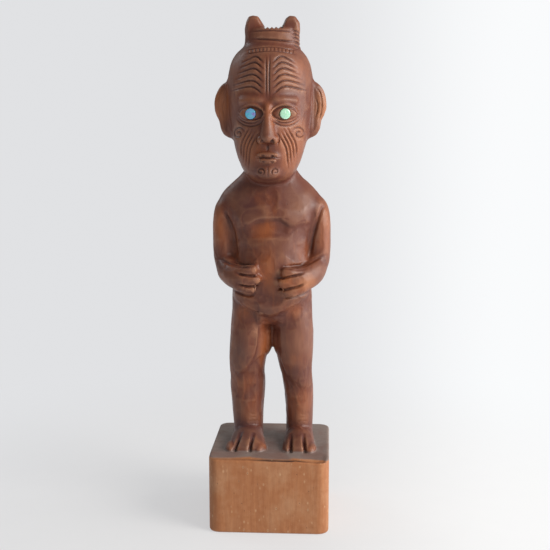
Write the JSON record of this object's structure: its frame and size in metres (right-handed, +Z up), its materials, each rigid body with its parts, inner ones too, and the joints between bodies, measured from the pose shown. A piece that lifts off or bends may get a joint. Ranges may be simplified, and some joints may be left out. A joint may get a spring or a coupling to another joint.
{
  "type": "carved ancestor figure",
  "caption": "Standing wooden ancestor figure carved in one with its square block base, hands on the belly, knobbed topknot, grooved face and round shell eye inlays.",
  "frame": {"origin": "middle of the block base's underside, on the surface that the figure stands on", "axes": "+Z up through the figure's head, -Y the way the figure faces, +X towards the figure's own left hand"},
  "size_m": [0.077, 0.077, 0.3265],
  "materials": {
    "stained_timber": "reddish-brown stain under a thin semi-gloss polish, worn paler on the high places",
    "paua_shell": "polished, iridescent blue-green to violet",
    "amber_glue": "set clear glue"
  },
  "bodies": {
    "root": {"carved_figure": "stained_timber", "eye_inlay_right": "paua_shell", "eye_inlay_left": "paua_shell", "eye_glue_right": "amber_glue", "eye_glue_left": "amber_glue"}
  },
  "joints": []
}
